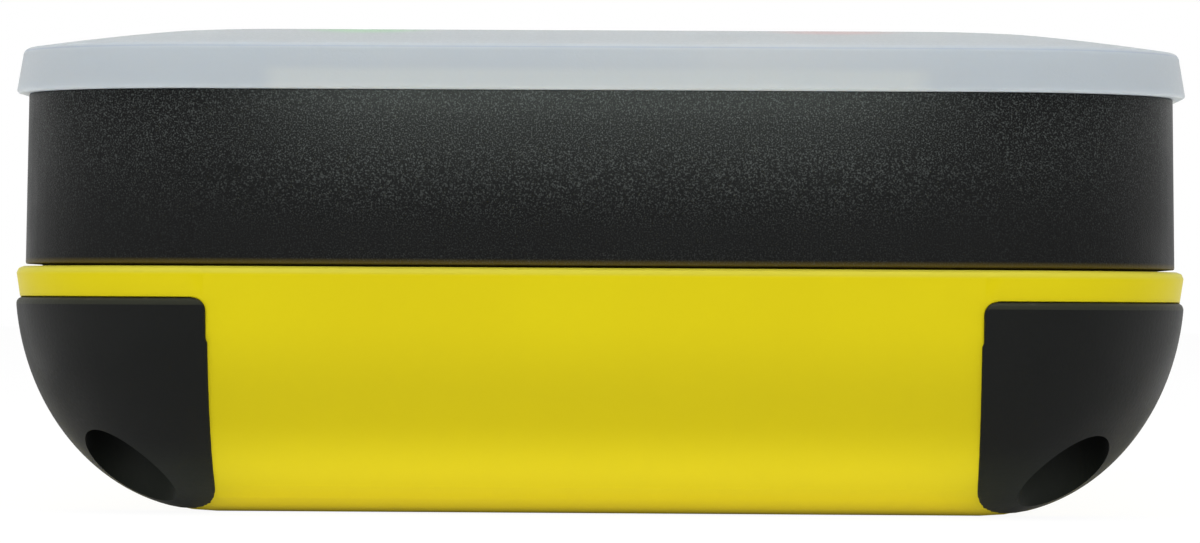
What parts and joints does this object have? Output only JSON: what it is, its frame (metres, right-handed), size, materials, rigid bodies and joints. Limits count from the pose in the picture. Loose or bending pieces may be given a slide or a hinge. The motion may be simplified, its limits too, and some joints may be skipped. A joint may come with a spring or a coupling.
{
  "type": "handheld gps unit",
  "caption": "Rugged handheld GPS unit: yellow rear shell with rubber corner bumpers, black mid housing with display and keypad, frosted press-on cover.",
  "frame": {"origin": "centre of the bounding box at the rest plane under the back of the unit", "axes": "+X to the right and +Z out of the display face, seen by a user who holds the end at -Y towards them; +Y along the length to the far end with the port"},
  "size_m": [0.0798, 0.1398, 0.0332],
  "materials": {
    "yellow_shell": "satin moulded, smooth",
    "black_housing": "fine spark-eroded grain",
    "bumper_rubber": "matt overmoulded rubber",
    "seal_rubber": "smooth",
    "steel": "zinc plated",
    "spring_steel": "nickel plated",
    "brass": "knurled, tapped",
    "cell_sleeve": "shrink sleeve",
    "door_plastic": "satin moulded",
    "circuit_board": "solder resist",
    "chip_black": "moulded",
    "ceramic": "fired",
    "silicone_mat": "silicone",
    "light_guide": "diffusing",
    "display_glass": "polarised",
    "amber_film": "film",
    "face_black": "fine grain",
    "lens_clear": "clear",
    "key_green": "satin",
    "key_red": "satin",
    "key_grey": "satin",
    "port_rubber": "fine grain",
    "frosted_cover": "frosted translucent"
  },
  "bodies": {
    "case": {"rear_shell": "yellow_shell", "mid_housing": "black_housing", "bumper_near_left": "bumper_rubber", "bumper_near_right": "bumper_rubber", "bumper_far_left": "bumper_rubber", "bumper_far_right": "bumper_rubber", "case_seal": "seal_rubber", "display_gasket": "seal_rubber", "case_screws": "steel", "board_screws": "steel", "port_socket": "steel", "port_pin": "steel", "rocker_pin": "steel", "lanyard_pin": "steel", "positive_contacts": "spring_steel", "spring_contacts": "spring_steel", "key_domes": "spring_steel", "shield_can": "spring_steel", "display_frame": "spring_steel", "antenna_plate": "spring_steel", "backup_cell": "spring_steel", "case_inserts": "brass", "door_inserts": "brass", "bracket_insert": "brass", "battery_cells": "cell_sleeve", "main_board": "circuit_board", "board_chips": "chip_black", "beeper": "chip_black", "power_switch": "chip_black", "antenna_patch": "ceramic", "keypad_mat": "silicone_mat", "backlight_guide": "light_guide", "display_glass": "display_glass", "display_flex": "amber_film", "face_plate": "face_black", "display_lens": "lens_clear"},
    "cover": {"cover": "frosted_cover"},
    "door": {"battery_door": "door_plastic", "door_seal": "seal_rubber"},
    "near_screw": {"door_screw_near": "steel"},
    "far_screw": {"door_screw_far": "steel"},
    "rocker": {"zoom_rocker": "key_grey"},
    "flap": {"port_cover": "port_rubber", "port_plug": "seal_rubber"},
    "power": {"power_button": "key_red"},
    "green_key": {"green_key": "key_green"},
    "red_key": {"red_key": "key_red"},
    "enter_key": {"enter_key": "key_grey"},
    "up_key": {"up_key": "key_grey"},
    "down_key": {"down_key": "key_grey"},
    "left_key": {"left_key": "key_grey"},
    "right_key": {"right_key": "key_grey"},
    "menu_key": {"menu_key": "key_grey"},
    "page_key": {"page_key": "key_grey"}
  },
  "joints": [
    {"name": "cover_lift", "type": "slide", "parent": "case", "child": "cover", "axis": [0, 0, 1], "range_m": [0, 0.025]},
    {"name": "door_drop", "type": "slide", "parent": "case", "child": "door", "axis": [0, 0, -1], "range_m": [0, 0.02]},
    {"name": "near_screw_turn", "type": "hinge", "parent": "door", "child": "near_screw", "pos_m": [0, -0.04725, 0.001], "axis": [0, 0, 1], "continuous": true},
    {"name": "far_screw_turn", "type": "hinge", "parent": "door", "child": "far_screw", "pos_m": [0, 0.01925, 0.001], "axis": [0, 0, 1], "continuous": true},
    {"name": "green_key_press", "type": "slide", "parent": "case", "child": "green_key", "axis": [0, 0, -1], "range_m": [0, 0.0006], "stiffness_N_per_m": 1500},
    {"name": "red_key_press", "type": "slide", "parent": "case", "child": "red_key", "axis": [0, 0, -1], "range_m": [0, 0.0006], "stiffness_N_per_m": 1500},
    {"name": "enter_key_press", "type": "slide", "parent": "case", "child": "enter_key", "axis": [0, 0, -1], "range_m": [0, 0.0006], "stiffness_N_per_m": 1500},
    {"name": "up_key_press", "type": "slide", "parent": "case", "child": "up_key", "axis": [0, 0, -1], "range_m": [0, 0.0006], "stiffness_N_per_m": 1500},
    {"name": "down_key_press", "type": "slide", "parent": "case", "child": "down_key", "axis": [0, 0, -1], "range_m": [0, 0.0006], "stiffness_N_per_m": 1500},
    {"name": "left_key_press", "type": "slide", "parent": "case", "child": "left_key", "axis": [0, 0, -1], "range_m": [0, 0.0006], "stiffness_N_per_m": 1500},
    {"name": "right_key_press", "type": "slide", "parent": "case", "child": "right_key", "axis": [0, 0, -1], "range_m": [0, 0.0006], "stiffness_N_per_m": 1500},
    {"name": "menu_key_press", "type": "slide", "parent": "case", "child": "menu_key", "axis": [0, 0, -1], "range_m": [0, 0.0006], "stiffness_N_per_m": 1500},
    {"name": "page_key_press", "type": "slide", "parent": "case", "child": "page_key", "axis": [0, 0, -1], "range_m": [0, 0.0006], "stiffness_N_per_m": 1500},
    {"name": "rocker_tilt", "type": "hinge", "parent": "case", "child": "rocker", "pos_m": [-0.025, -0.042, 0.0289], "axis": [1, 0, 0], "range_deg": [-4, 4], "stiffness_Nm_per_rad": 0.15},
    {"name": "port_cover_swing", "type": "hinge", "parent": "case", "child": "flap", "pos_m": [-0.016, 0.06813, 0.0206], "axis": [-1, 0, 0], "range_deg": [0, 90]},
    {"name": "power_press", "type": "slide", "parent": "case", "child": "power", "axis": [0, -1, 0], "range_m": [0, 0.0007], "stiffness_N_per_m": 1500}
  ]
}
